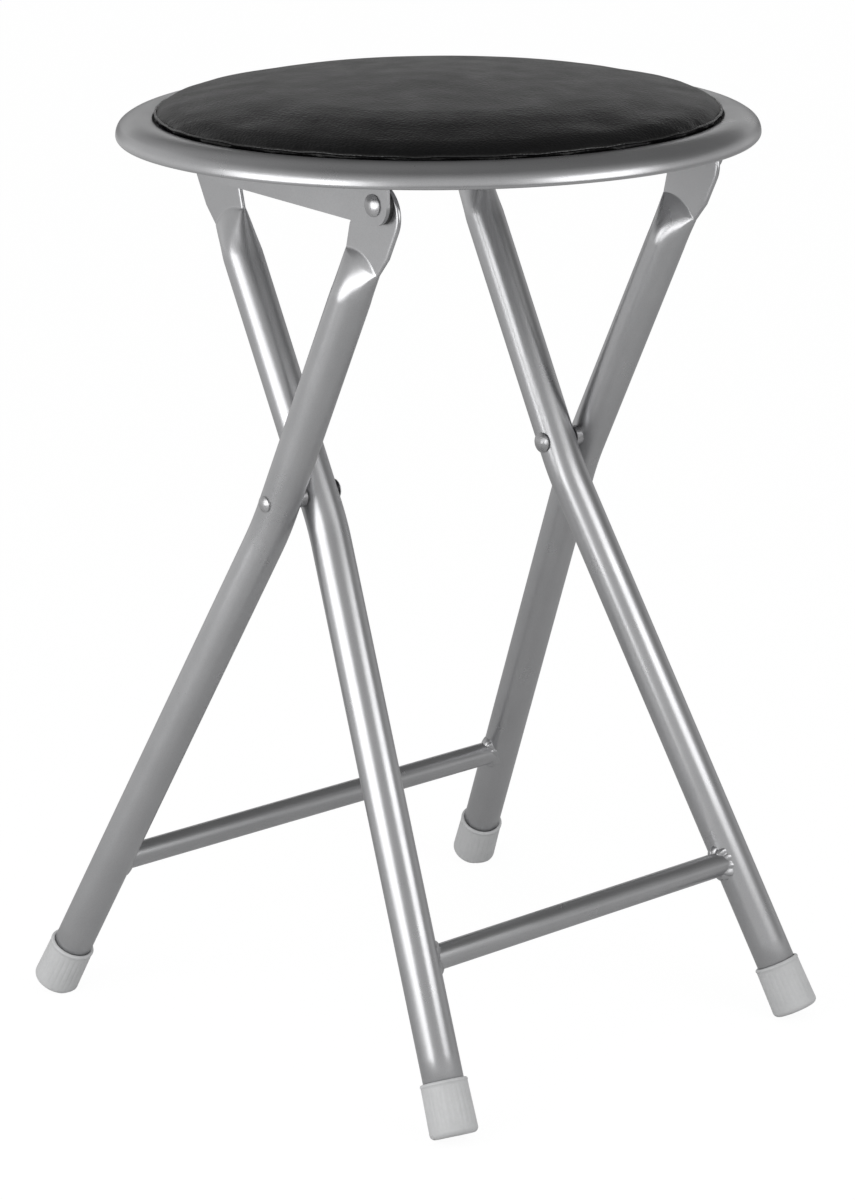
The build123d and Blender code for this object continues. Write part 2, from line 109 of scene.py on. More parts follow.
def add_bump(tree, shader, height, strength, depth, under=None):
    """Bump of a shader's surface, laid over an earlier one where that is given."""
    bump = tree.nodes.new("ShaderNodeBump")
    bump.inputs["Strength"].default_value = strength
    bump.inputs["Distance"].default_value = depth
    tree.links.new(height, bump.inputs["Height"])
    if under:
        tree.links.new(under, bump.inputs["Normal"])
    tree.links.new(bump.outputs["Normal"], shader.inputs["Normal"])
    return bump.outputs["Normal"]


def silver_paint():
    material, tree, shader = start_material("silver_paint")
    drift = add_noise(tree, scale=28, detail=3)
    spots = add_noise(tree, scale=2600, detail=1)
    satin = add_noise(tree, scale=60, detail=4)
    orange_peel = add_noise(tree, scale=900, detail=2)
    slow = add_tones(tree, drift, (0.455, 0.457, 0.465), (0.505, 0.507, 0.515))
    flake = add_tones(tree, spots, (0.38, 0.38, 0.39), (0.58, 0.58, 0.59), start=0.35, end=0.65)
    flake_share = 0.22
    tree.links.new(add_mix(tree, flake_share, slow, flake), shader.inputs["Base Color"])
    tree.links.new(add_range(tree, satin, low=0.27, high=0.32), shader.inputs["Roughness"])
    shader.inputs["Metallic"].default_value = 0.92
    add_bump(tree, shader, orange_peel, strength=0.03, depth=0.0001)
    return material


def paint_node(name, material):
    """Gives a solid of the frame its finish."""
    mesh = nodes[name].data
    mesh.materials.clear()
    mesh.materials.append(material)


tube_radius = 0.0095
crossing_height, hinge_height, bend_height = 0.272, 0.421, 0.258
bend_radius = 0.150
leg_lean = math.radians(26.9)
leg_splay = {"outer": math.radians(8.4), "inner": math.radians(7.1)}
leg_offset = {"outer": 0.0974, "inner": 0.0754}
lean_sign = {"outer": 1, "inner": -1}
side_sign = {"near": -1, "far": 1}
both_sides = ("near", "far")
frames = ("outer", "inner")


def link_mesh(name, verts, faces, material, smooth=True):
    """Piece of one material, with its faces turned outwards."""
    mesh = bpy.data.meshes.new(name)
    mesh.from_pydata([tuple(v) for v in verts], [], faces)
    mesh.validate()
    shaped = bmesh.new()
    shaped.from_mesh(mesh)
    bmesh.ops.recalc_face_normals(shaped, faces=shaped.faces)
    shaped.to_mesh(mesh)
    shaped.free()
    mesh.materials.append(material)
    mesh.polygons.foreach_set("use_smooth", [smooth] * len(mesh.polygons))
    piece = bpy.data.objects.new(name, mesh)
    bpy.context.scene.collection.objects.link(piece)
    return piece


def ring_faces(rings, count, close_ends=False):
    """Quads between rings of count points each, the last ring joined to the first where asked."""
    faces = []
    for ring in range(rings if close_ends else rings - 1):
        start, following = ring * count, (ring + 1) % rings * count
        for step in range(count):
            after = (step + 1) % count
            faces.append((start + step, start + after, following + after, following + step))
    return faces


def pressed_ring(width, thickness, end_radius):
    """Tube section at one stage of its flattening: two bulged or flat sides and two round ends."""
    half_width, half_thickness = width / 2, thickness / 2
    end_centre = half_width - end_radius
    if end_centre < 1e-6:
        slope = math.pi / 4
    elif half_thickness - end_radius < 1e-6:
        slope = math.pi / 2
    else:
        side_radius = half_width**2 + half_thickness**2 - 2 * half_width * end_radius
        side_radius /= 2 * (half_thickness - end_radius)
        slope = math.atan2(side_radius - half_thickness, end_centre)
    x, y = end_centre + end_radius * math.cos(slope), end_radius * math.sin(slope)
    bulge = half_thickness - y
    quarter = []
    for turn in np.linspace(0, slope, 60):
        quarter.append((end_centre + end_radius * math.cos(turn), end_radius * math.sin(turn)))
    for across in np.linspace(x, 0, 120)[1:]:
        if bulge > 1e-6:
            arc_radius = (x * x + bulge * bulge) / (2 * bulge)
            quarter.append((across, half_thickness - arc_radius + math.sqrt(arc_radius**2 - across**2)))
        else:
            quarter.append((across, y))
    quarter = np.array(quarter)
    angles = np.arctan2(quarter[:, 1] / half_thickness, quarter[:, 0] / half_width)
    even = np.linspace(0, math.pi / 2, 25)
    first = np.stack([np.interp(even, angles, quarter[:, axis]) for axis in (0, 1)], axis=1)
    second = first[-2::-1] * (-1, 1)
    return np.concatenate([first, second, -first[1:], -second[:-1]])


def make_leg(frame_name, side, material):
    """Bent tube whose top is pressed into a round-ended blade, with a bowed crease where the pressing ends."""
    wall, crease_width, crease_bow = 0.0012, 0.024, 0.004
    blade_straight, crease, flattening = 0.020, 0.031, 0.023
    face_curve, end_curve = 1.65, 0.95
    blade_width = math.pi / 2 * (2 * tube_radius - wall) + wall
    blade_end, end_steps, end_start = 0.006, 18, 0.35
    blade_stages = (0.008, 0.012, 0.016, blade_straight, 0.0225, 0.025, 0.0262)
    crease_start, fine_run, fine_step, coarse_step = 0.0268, 0.004, 0.0004, 0.0008
    straight_steps, bend_steps, lower_steps = 8, 24, 10
    tube_end_height = 0.012
    up_leg = Vector((lean_sign[frame_name] * math.sin(leg_lean), 0, math.cos(leg_lean)))
    outward = Vector((0, side_sign[side], 0))
    across = outward.cross(up_leg)
    splay, offset = leg_splay[frame_name], leg_offset[frame_name]
    hinge_reach = (hinge_height - crossing_height) / math.cos(leg_lean)
    bend_reach = (bend_height - crossing_height) / math.cos(leg_lean)
    middle = Vector((0, 0, crossing_height)) + outward * offset
    rings = []

    def share_below_crease(below, sideways):
        """How far the tube has opened at a point, from 0 at the bowed crease to 1 where it is round."""
        start = crease - crease_bow * (1 - min(1.0, abs(sideways) / (crease_width / 2)) ** 2)
        return min(max((below - start) / flattening, 0.0), 1.0)

    def pressed_size(share):
        """Width, thickness and end radius of the tube's section once it has opened by a share."""
        left = (1 - share) ** face_curve
        width = 2 * tube_radius + (crease_width - 2 * tube_radius) * left
        thickness = 2 * wall + (2 * tube_radius - 2 * wall) * (1 - left)
        return width, thickness, wall + (tube_radius - wall) * share**end_curve

    def add_upper_ring(below):
        """Section at a distance below the hinge, in the straight upper part."""
        if below < crease:
            down = max(0.0, (below - blade_straight) / (crease - blade_straight))
            width = blade_width + (crease_width - blade_width) * down
            if below < blade_end:
                width = 2 * math.sqrt(max((blade_width / 2) ** 2 - (blade_end - below) ** 2, 1e-7))
            size = (width, 2 * wall, min(wall, width / 2 - 1e-5))
        else:
            size = pressed_size(min((below - crease) / flattening, 1.0))
        centre = middle + up_leg * (hinge_reach - below)
        ring = []
        for sideways, lift in pressed_ring(*size):
            if below > crease - crease_bow:
                lift *= pressed_size(share_below_crease(below, sideways))[1] / size[1]
            ring.append(centre + across * sideways + outward * lift)
        rings.append(ring)

    for step in range(end_steps):
        add_upper_ring(blade_end - blade_width / 2 * math.cos(math.pi / 2 * (step + end_start) / end_steps))
    for below in blade_stages:
        add_upper_ring(below)
    below = crease_start
    while below < crease + flattening:
        add_upper_ring(below)
        below += fine_step if below < crease + fine_run else coarse_step
    straight_end = bend_reach + bend_radius * math.tan(splay / 2)
    round_start = hinge_reach - crease - flattening
    for step in range(straight_steps + 1):
        add_upper_ring(hinge_reach - (round_start + (straight_end - round_start) * step / straight_steps))
    turn_centre = middle + up_leg * straight_end + outward * bend_radius
    round_ring = pressed_ring(2 * tube_radius, 2 * tube_radius, tube_radius)
    for step in range(1, bend_steps + 1):
        turn = splay * step / bend_steps
        out_now = outward * math.cos(turn) + up_leg * math.sin(turn)
        centre = turn_centre - out_now * bend_radius
        rings.append([centre + across * sideways + out_now * lift for sideways, lift in round_ring])
    down_leg = up_leg * -math.cos(splay) + outward * math.sin(splay)
    length = (centre.z - tube_end_height) / -down_leg.z
    for step in range(1, lower_steps + 1):
        spot = centre + down_leg * length * step / lower_steps
        rings.append([spot + across * sideways + out_now * lift for sideways, lift in round_ring])
    count = len(round_ring)
    verts = [point for ring in rings for point in ring]
    faces = ring_faces(len(rings), count)
    faces.append(tuple(range(count)))
    faces.append(tuple(range(len(verts) - count, len(verts))))
    leg = link_mesh(f"bent_leg_{frame_name}_{side}", verts, faces, material)
    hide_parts(f"{frame_name}_leg_{side}")
    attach(leg, f"{frame_name}_frame")


silver = silver_paint()
for frame_name in frames:
    paint_node(f"{frame_name}_crossbar", silver)
    for side in both_sides:
        make_leg(frame_name, side, silver)


# Foot caps: soft grey plastic cups pushed over the tube ends, moulded with shallow flutes, a thin lip at
# the top and a rounded bottom edge. Each has a flat worn where it meets the floor.
def lower_leg_direction(frame_name, side):
    """Unit vector up a lower leg."""
    up_leg = Vector((lean_sign[frame_name] * math.sin(leg_lean), 0, math.cos(leg_lean)))
    outward = Vector((0, side_sign[side], 0))
    splay = leg_splay[frame_name]
    return up_leg * math.cos(splay) - outward * math.sin(splay)


def node_points(name):
    """Points of a solid of the frame, at rest."""
    mesh = nodes[name].data
    points = np.empty(len(mesh.vertices) * 3)
    mesh.vertices.foreach_get("co", points)
    return points.reshape(-1, 3)


def cap_top_centre(frame_name, side):
    """Middle of a cap's open end, read from its solid."""
    along = np.array(lower_leg_direction(frame_name, side))
    points = node_points(f"{frame_name}_foot_cap_{side}")
    height = points @ along
    ring = points[height > height.max() - 0.0001]
    across = np.cross(along, (0, 1, 0))
    across /= np.linalg.norm(across)
    beside = np.cross(along, across)
    middle = sum(axis * ((ring @ axis).min() + (ring @ axis).max()) / 2 for axis in (across, beside))
    return Vector(middle + along * height.max())


def cap_plastic():
    material, tree, shader = start_material("cap_plastic")
    haze = add_noise(tree, scale=90, detail=3)
    scratches = add_noise(tree, scale=700, detail=4)
    polish = add_noise(tree, scale=240, detail=3)
    skin = add_noise(tree, scale=1500, detail=2)
    cloud = add_tones(tree, haze, (0.60, 0.605, 0.61), (0.66, 0.665, 0.67))
    scuff = add_tones(tree, scratches, (0.57, 0.575, 0.575), (0.69, 0.695, 0.70))
    scuff_share = 0.25
    tree.links.new(add_mix(tree, scuff_share, cloud, scuff), shader.inputs["Base Color"])
    tree.links.new(add_range(tree, polish, low=0.38, high=0.5), shader.inputs["Roughness"])
    shader.inputs["Subsurface Weight"].default_value = 0.12
    shader.inputs["Subsurface Radius"].default_value = (0.002, 0.002, 0.002)
    add_bump(tree, shader, skin, strength=0.08, depth=0.0002)
    return material


def make_cap(frame_name, side, material):
    """Fluted cup round its lower leg, with everything below the floor drawn up to it."""
    length, wall, flare = 0.0255, 0.0014, 0.0004
    bottom_wall, edge_round = 0.0035, 0.0025
    lip_height, lip_step, lip_round = 0.0016, 0.00025, 0.0003
    lip_taper = ((0.0007, 0), (0.0004, 0), (0.0001, 0.0001), (0.00003, 0.0008))
    flutes, flute_depth, steps = 26, 0.00016, 208
    flute_stages = ((0.08, 0.3), (0.16, 1), (0.35, 1), (0.55, 1), (0.75, 1), (0.88, 1), (0.95, 0.4), (1, 0))
    pin_hole = 0.0003
    top = tube_radius + wall
    bottom = top + flare
    profile = [(pin_hole, 0.0, 0)]
    profile += [(bottom * share, 0.0, 0) for share in (0.25, 0.5, 0.7)]
    for turn in range(9):
        angle = math.pi / 2 * turn / 8
        profile.append(
            (bottom - edge_round + edge_round * math.sin(angle), edge_round - edge_round * math.cos(angle), 0)
        )
    rise = length - lip_height - edge_round
    for share, fluted in flute_stages:
        profile.append((bottom + (top - bottom) * share, edge_round + rise * share, fluted))
    profile += [
        (top + lip_step, length - lip_height + lip_step, 0),
        (top + lip_step, length - lip_round * 3, 0),
        (top + lip_step - lip_round, length - lip_round, 0),
    ]
    profile += [(tube_radius + gap, length - drop, 0) for gap, drop in lip_taper]
    profile += [
        (tube_radius, length * 0.5, 0),
        (tube_radius, bottom_wall, 0),
        (tube_radius * 0.5, bottom_wall, 0),
        (pin_hole, bottom_wall, 0),
    ]
    along = lower_leg_direction(frame_name, side)
    origin = cap_top_centre(frame_name, side) - along * length
    across = along.cross(Vector((0, 1, 0))).normalized()
    beside = along.cross(across)
    verts = []
    for radius, height, fluted in profile:
        for step in range(steps):
            angle = 2 * math.pi * step / steps
            ridge = 0.5 - 0.5 * math.cos(flutes * angle)
            reach = radius - fluted * flute_depth * ridge**3
            point = origin + along * height + (across * math.cos(angle) + beside * math.sin(angle)) * reach
            point.z = max(point.z, 0.0)
            verts.append(point)
    faces = ring_faces(len(profile), steps)
    faces.append(tuple(range(steps)))
    faces.append(tuple(range(len(verts) - steps, len(verts))))
    cap = link_mesh(f"fluted_cap_{frame_name}_{side}", verts, faces, material)
    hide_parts(f"{frame_name}_foot_cap_{side}")
    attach(cap, f"{frame_name}_frame")


grey_plastic = cap_plastic()
for frame_name in frames:
    for side in both_sides:
        make_cap(frame_name, side, grey_plastic)


# Welds: short beads that hold each crossbar to its legs, laid by hand and painted over with the frame.
# They are heavy above and below the bar and thin at its sides, in overlapping lumps.
def bar_meets_leg(bar_point, leg_point, along, reach):
    """Where a line along Y through bar_point comes within reach of the leg's axis, and where it leaves it."""
    start = bar_point - leg_point
    start_off = start - along * start.dot(along)
    step_off = Vector((0, 1, 0)) - along * along.y
    a, b, c = step_off.dot(step_off), 2 * start_off.dot(step_off), start_off.dot(start_off) - reach**2
    root = math.sqrt(max(b * b - 4 * a * c, 0.0))
    return (-b - root) / (2 * a), (-b + root) / (2 * a)


def make_weld(frame_name, side, material, lumps):
    """Lumpy bead round the end of a crossbar, between the bar's skin and the leg's."""
    bar_low, bar_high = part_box(f"{frame_name}_crossbar")
    bar_middle = (bar_low + bar_high) / 2
    bar_radius = (bar_high.z - bar_low.z) / 2
    along = lower_leg_direction(frame_name, side)
    leg_point = cap_top_centre(frame_name, side)
    toward = side_sign[side]
    around, across = 120, 9
    bead_size, sunk = 0.0027, 0.0004
    phases = [lumps.uniform(0, 2 * math.pi) for _ in range(6)]
    verts = []
    for step in range(around):
        angle = 2 * math.pi * step / around
        ripple = abs(math.sin(5.5 * angle + phases[0])) ** 0.7
        drift = math.sin(3 * angle + phases[1]) + math.sin(7 * angle + phases[2])
        drift += math.sin(11 * angle + phases[3])
        upright = abs(math.sin(angle + 0.35 * math.sin(phases[4])))
        size = bead_size * (0.35 + 0.65 * upright**0.8) * (0.72 + 0.38 * ripple + 0.1 * drift)
        outward = Vector((math.cos(angle), 0, math.sin(angle)))

        def corner(lift, reach):
            """Point at a lift above the bar where it comes to a reach from the leg's axis."""
            point = bar_middle + outward * (bar_radius + lift)
            hits = bar_meets_leg(point, leg_point, along, reach)
            point.y += hits[0] if toward > 0 else hits[1]
            return point

        saddle = corner(-sunk, tube_radius - sunk)
        foot = corner(0, tube_radius)
        on_bar = foot - Vector((0, toward, 0)) * size - outward * sunk
        on_leg = corner(size, tube_radius - sunk)
        for place in range(across - 1):
            share = place / (across - 2)
            point = on_bar.lerp(on_leg, share)
            swell = math.sin(math.pi * share) * (0.16 + 0.14 * ripple)
            verts.append(point + (point - saddle) * swell)
        verts.append(saddle)
    faces = ring_faces(around, across, close_ends=True)
    weld = link_mesh(f"weld_bead_{frame_name}_{side}", verts, faces, material)
    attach(weld, f"{frame_name}_frame")
    return weld


weld_lumps = random.Random(7)
for frame_name in frames:
    for side in both_sides:
        bead = make_weld(frame_name, side, silver, weld_lumps)
        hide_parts(f"{frame_name}_welds")


# Rivets, spacers and the rod between the inner leg tops: plated steel, headed over cold, so the domes are
# bright and slightly uneven.
def plated_steel():
    material, tree, shader = start_material("plated_steel")
    stain = add_noise(tree, scale=160, detail=3)
    shine = add_noise(tree, scale=500, detail=3)
    dents = add_noise(tree, scale=900, detail=3)
    tone = add_tones(tree, stain, (0.40, 0.40, 0.405), (0.50, 0.50, 0.51))
    tree.links.new(tone, shader.inputs["Base Color"])
    tree.links.new(add_range(tree, shine, low=0.24, high=0.36), shader.inputs["Roughness"])
    shader.inputs["Metallic"].default_value = 0.95
    add_bump(tree, shader, dents, strength=0.12, depth=0.0003)
    return material


plated = plated_steel()
paint_node("top_rod", plated)
for side in both_sides:
    for stem in ("crossing_rivet", "crossing_spacer", "hinge_rivet"):
        paint_node(f"{stem}_{side}", plated)


# Seat pan and brackets: the pan is spun from thin sheet with a rolled rim, the brackets are bent from
# thicker sheet and welded under it, and all of it is painted like the legs.
pan_low, pan_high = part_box("seat_pan")
pan_radius = (pan_high.x - pan_low.x) / 2
rim_hang = 0.0052
pan_floor = pan_low.z + rim_hang


def make_pan(material):
    """Sheet profile from the middle of the floor, up the wall, over the rim and round its turned edge, spun."""
    sheet, rim_width, lip_height, lip_run = 0.001, 0.0165, 0.0043, 0.0016
    edge_radius, edge_drop, edge_rise, edge_fall = 0.005, 0.0037, 0.0064, 0.0028
    shoulder, turned_under = math.radians(60), math.radians(33)
    lip_round, lip_steps, crown_steps, edge_steps = 0.0005, 8, 40, 32
    lip = Vector((pan_radius - rim_width - sheet / 2, pan_floor + lip_height - sheet / 2))
    roll, rise, fall = (size - sheet / 2 for size in (edge_radius, edge_rise, edge_fall))
    roll_middle = Vector((pan_radius - edge_radius, pan_floor - edge_drop))
    start = roll_middle + Vector((math.cos(shoulder) * roll, math.sin(shoulder) * rise))
    heading = Vector((-math.sin(shoulder) * roll, math.cos(shoulder) * rise)).normalized()
    chord = lip - start
    inward = Vector((-heading.y, heading.x))
    crown_radius = chord.length_squared / (2 * chord.dot(inward))
    crown_middle = start + inward * crown_radius
    crown_turn = 2 * math.asin(chord.length / (2 * crown_radius))
    floor_rings = (0.0003, 0.001, 0.003, 0.03, 0.07, 0.11, 0.125, lip.x - lip_run - 0.0008)
    line = [Vector((radius, pan_floor + sheet / 2)) for radius in floor_rings]
    foot = Vector((lip.x - lip_run, pan_floor + sheet / 2))
    line += [foot + (lip - foot) * share for share in (0.25, 0.6, 0.8)]
    crown_facing = math.atan2(-inward.y, -inward.x)
    lip_facing = crown_facing + crown_turn
    wall = (lip - foot).normalized()
    wall_facing = math.atan2(wall.x, -wall.y)
    back_off = lip_round * math.tan((wall_facing - lip_facing) / 2)
    round_middle = lip - wall * back_off + Vector((wall.y, -wall.x)) * lip_round
    for step in range(lip_steps + 1):
        angle = wall_facing + (lip_facing - wall_facing) * step / lip_steps
        line.append(round_middle + Vector((math.cos(angle), math.sin(angle))) * lip_round)
    for step in range(1, crown_steps + 1):
        angle = crown_facing + crown_turn * (1 - step / crown_steps)
        line.append(crown_middle + Vector((math.cos(angle), math.sin(angle))) * crown_radius)
    for step in range(1, edge_steps + 1):
        angle = shoulder - (shoulder + turned_under) * step / edge_steps
        height = math.sin(angle) * (rise if angle > 0 else fall)
        line.append(roll_middle + Vector((math.cos(angle) * roll, height)))
    above, below = [], []
    for place, point in enumerate(line):
        run = line[min(place + 1, len(line) - 1)] - line[max(place - 1, 0)]
        across = Vector((-run.y, run.x)).normalized() * sheet / 2
        above.append(point + across)
        below.append(point - across)
    loop = above + below[::-1]
    steps = 360
    verts = []
    for step in range(steps):
        angle = 2 * math.pi * step / steps
        verts += [(point.x * math.cos(angle), point.x * math.sin(angle), point.y) for point in loop]
    pan = link_mesh("spun_pan", verts, ring_faces(steps, len(loop), close_ends=True), material)
    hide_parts("seat_pan")
    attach(pan, "seat")


make_pan(silver)
for side in both_sides:
    paint_node(f"seat_bracket_{side}", silver)


# Hinge washers and rod catches: black nylon, moulded with a dull skin. The washers sit on the hinge rivets,
# between ear and leg, and the catches are screwed up under the pan, where they hook over the rod.
def black_nylon():
    material, tree, shader = start_material("black_nylon")
    cloud = add_noise(tree, scale=220, detail=3)
    polish = add_noise(tree, scale=320, detail=3)
    skin = add_noise(tree, scale=2200, detail=2)
    tone = add_tones(tree, cloud, (0.012, 0.012, 0.012), (0.022, 0.022, 0.022))
    tree.links.new(tone, shader.inputs["Base Color"])
    tree.links.new(add_range(tree, polish, low=0.48, high=0.6), shader.inputs["Roughness"])
    add_bump(tree, shader, skin, strength=0.15, depth=0.0002)
    return material


nylon = black_nylon()
for side in both_sides:
    paint_node(f"hinge_washer_{side}", nylon)
    paint_node(f"rod_catch_{side}", nylon)


# Board and its screws: a disc of raw particle board under the foam, held up by plated wood screws driven
# through the pan and the catches.
def raw_board():
    material, tree, shader = start_material("raw_board")
    chips = add_noise(tree, scale=260, detail=5)
    splinters = add_noise(tree, scale=500, detail=4)
    tone = add_tones(tree, chips, (0.30, 0.20, 0.12), (0.52, 0.39, 0.26))
    tree.links.new(tone, shader.inputs["Base Color"])
    shader.inputs["Roughness"].default_value = 0.85
    add_bump(tree, shader, splinters, strength=0.4, depth=0.0006)
    return material


paint_node("seat_board", raw_board())
paint_node("pad_screws", plated)


# Pad: foam under black vinyl, pulled tight over the board's edge. It swells from a smaller form under its
# own pressure, held at the edge where the vinyl turns under.
def black_vinyl(name, gloss, low_rough, high_rough):
    """Black vinyl of a given gloss, with a fine pebbled grain over shallow puckers."""
    material, tree, shader = start_material(name)
    wiped = add_noise(tree, scale=22, detail=5)
    dust = add_noise(tree, scale=700, detail=3)
    rubbed = add_noise(tree, scale=55, detail=7)
    small_puckers = add_noise(tree, scale=170, detail=4)
    wide_puckers = add_noise(tree, scale=38, detail=3)
    smudge = add_tones(tree, wiped, (0.0035, 0.0035, 0.0038), (0.006, 0.006, 0.0063), start=0.35, end=0.65)
    speck = add_tones(tree, dust, (0.002, 0.002, 0.0023), (0.010, 0.010, 0.0103))
    speck_share = 0.35
    tree.links.new(add_mix(tree, speck_share, smudge, speck), shader.inputs["Base Color"])
    tree.links.new(add_range(tree, rubbed, low_rough, high_rough), shader.inputs["Roughness"])
    shader.inputs["Specular IOR Level"].default_value = gloss
    grain = tree.nodes.new("ShaderNodeTexVoronoi")
    grain.inputs["Scale"].default_value = 760
    place = tree.nodes.new("ShaderNodeTexCoord")
    tree.links.new(place.outputs["Object"], grain.inputs["Vector"])
    pebble = add_bump(tree, shader, grain.outputs["Distance"], strength=0.60, depth=0.0003)
    puckers = add_bump(tree, shader, small_puckers, strength=0.13, depth=0.0006, under=pebble)
    add_bump(tree, shader, wide_puckers, strength=0.12, depth=0.0015, under=puckers)
    return material


vinyl = black_vinyl("black_vinyl", gloss=0.26, low_rough=0.28, high_rough=0.36)
cover_low, cover_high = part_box("seat_cover")
pad_radius = (cover_high.x - cover_low.x) / 2
pad_base = cover_low.z
pad_crown = cover_high.z - pad_base


def smooth_line(knots, steps):
    """Points of a smooth line through its knots, with some steps from each to the next."""
    knots = np.array(knots)
    along = np.concatenate([[0], np.cumsum(np.linalg.norm(np.diff(knots, axis=0), axis=1))])
    heading = np.gradient(knots, along, axis=0)
    line = []
    for place, gap in enumerate(np.diff(along)):
        for share in np.arange(steps) / steps:
            late = share * share * (3 - 2 * share)
            leave, arrive = share * (1 - share) ** 2 * gap, share**2 * (share - 1) * gap
            point = knots[place] * (1 - late) + knots[place + 1] * late
            line.append(tuple(point + heading[place] * leave + heading[place + 1] * arrive))
    return line + [tuple(knots[-1])]


def pad_profile(swell):
    """Radius and height of the pad's half outline, its crown drawn down by the swell to come."""
    pin_hole, draw_in, edge_run, edge_rise, waist = 0.0005, 0.0012, 0.001, 0.0006, 0.0056
    side_inset, side_rise, cheek_inset, cheek_rise = 0.0028, 0.0035, 0.0085, 0.0065
    shoulder_inset, shoulder_drop, brow_inset, brow_drop = 0.0189, 0.0076, 0.032, 0.0048
    crown_inset, crown_drop, crown_share, knot_steps = 0.0469, 0.0030, 0.644, 4
    side_swell = swell * 0.3
    top = pad_crown - swell
    lower = [
        (pin_hole, 0.0),
        (pad_radius * 0.5, 0.0),
        (pad_radius - draw_in - edge_run, 0.0),
        (pad_radius - draw_in, edge_rise),
        (pad_radius - side_swell, waist * 0.7),
        (pad_radius - side_swell, waist),
    ]
    upper = [
        (pad_radius - side_inset - side_swell, waist + side_rise),
        (pad_radius - cheek_inset, waist + cheek_rise - side_swell),
        (pad_radius - shoulder_inset, top - shoulder_drop),
        (pad_radius - brow_inset, top - brow_drop),
        (pad_radius - crown_inset, top - crown_drop),
    ]
    for share in (0.5, 0.35, 0.2, 0.1):
        upper.append((pad_radius * share, top - crown_drop * (share / crown_share) ** 2))
    upper.append((pin_hole, top))
    return lower + smooth_line(upper, knot_steps)


def make_pad():
    """Pad before it swells, spun from its outline."""
    swell_room, steps = 0.0012, 128
    outline = pad_profile(swell_room)
    verts = []
    for radius, height in outline:
        for step in range(steps):
            angle = 2 * math.pi * step / steps
            verts.append((radius * math.cos(angle), radius * math.sin(angle), pad_base + height))
    faces = ring_faces(len(outline), steps)
    faces.append(tuple(range(steps)))
    faces.append(tuple(range(len(verts) - steps, len(verts))))
    return link_mesh("vinyl_pad", verts, faces, vinyl)


def bake_modifiers(piece):
    """Keeps what the modifiers make of a piece as its own mesh."""
    bpy.context.view_layer.update()
    made = bpy.data.meshes.new_from_object(piece.evaluated_get(bpy.context.evaluated_depsgraph_get()))
    piece.modifiers.clear()
    old = piece.data
    piece.data = made
    bpy.data.meshes.remove(old)


def mesh_points(piece):
    """Points of a piece's mesh."""
    points = np.empty(len(piece.data.vertices) * 3)
    piece.data.vertices.foreach_get("co", points)
    return points.reshape(-1, 3)


def swell_pad(pad):
    """Lets the vinyl swell over its foam by no more than a set distance, then evens out its puckers."""
    farthest, held_height, frames_run = 0.0022, 0.0042, 20
    ring_width, pucker_kept = 0.003, 0.35
    even = pad.modifiers.new("even", "REMESH")
    even.mode = "VOXEL"
    even.voxel_size = 0.0045
    bake_modifiers(pad)
    rest = mesh_points(pad)
    held = pad.vertex_groups.new(name="held")
    held.add([int(i) for i in np.nonzero(rest[:, 2] < pad_base + held_height)[0]], 1.0, "REPLACE")
    cloth = pad.modifiers.new("swell", "CLOTH")
    cloth.settings.quality = 6
    cloth.settings.use_pressure = True
    cloth.settings.uniform_pressure_force = 4
    cloth.settings.vertex_group_mass = "held"
    cloth.settings.effector_weights.gravity = 0
    cloth.settings.tension_stiffness = 30
    cloth.settings.compression_stiffness = 30
    cloth.point_cache.frame_end = frames_run
    scene = bpy.context.scene
    for number in range(1, frames_run + 1):
        scene.frame_set(number)
    bake_modifiers(pad)
    scene.frame_set(1)
    moved = mesh_points(pad)
    shift = moved - rest
    length = np.linalg.norm(shift, axis=1, keepdims=True)
    shift *= np.minimum(1.0, farthest / np.maximum(length, 1e-9))
    outward = rest[:, :2] / np.maximum(np.linalg.norm(rest[:, :2], axis=1, keepdims=True), 1e-6)
    swell = np.column_stack([(shift[:, :2] * outward).sum(axis=1), shift[:, 2]])
    way = (np.linalg.norm(rest[:, :2], axis=1) + rest[:, 2].max() - rest[:, 2]) / ring_width
    ring = way.astype(int)
    count = np.bincount(ring)
    used = np.nonzero(count)[0]
    means = [np.bincount(ring, swell[:, k])[used] / count[used] for k in (0, 1)]
    even_swell = np.column_stack([np.interp(way, used + 0.5, mean) for mean in means])
    swell = even_swell + pucker_kept * (swell - even_swell)
    shift = np.column_stack([outward * swell[:, :1], swell[:, 1]])
    pad.data.vertices.foreach_set("co", (rest + shift).ravel())
    pad.data.update()


def relax_pad(pad):
    """Smooths the pad and brings it to its full radius and crown."""
    relax = pad.modifiers.new("relax", "SMOOTH")
    relax.factor = 0.5
    relax.iterations = 8
    fine = pad.modifiers.new("fine", "SUBSURF")
    fine.levels = fine.render_levels = 1
    bake_modifiers(pad)
    points = mesh_points(pad)
    lift = points[:, 2] - pad_base
    points[:, 2] = pad_base + np.maximum(lift, 0.0) * pad_crown / lift.max()
    points[:, :2] *= pad_radius / np.linalg.norm(points[:, :2], axis=1).max()
    pad.data.vertices.foreach_set("co", points.ravel())
    pad.data.update()
    pad.data.polygons.foreach_set("use_smooth", [True] * len(pad.data.polygons))


pad = make_pad()
swell_pad(pad)
relax_pad(pad)
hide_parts("seat_cover", "seat_foam")
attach(pad, "seat")


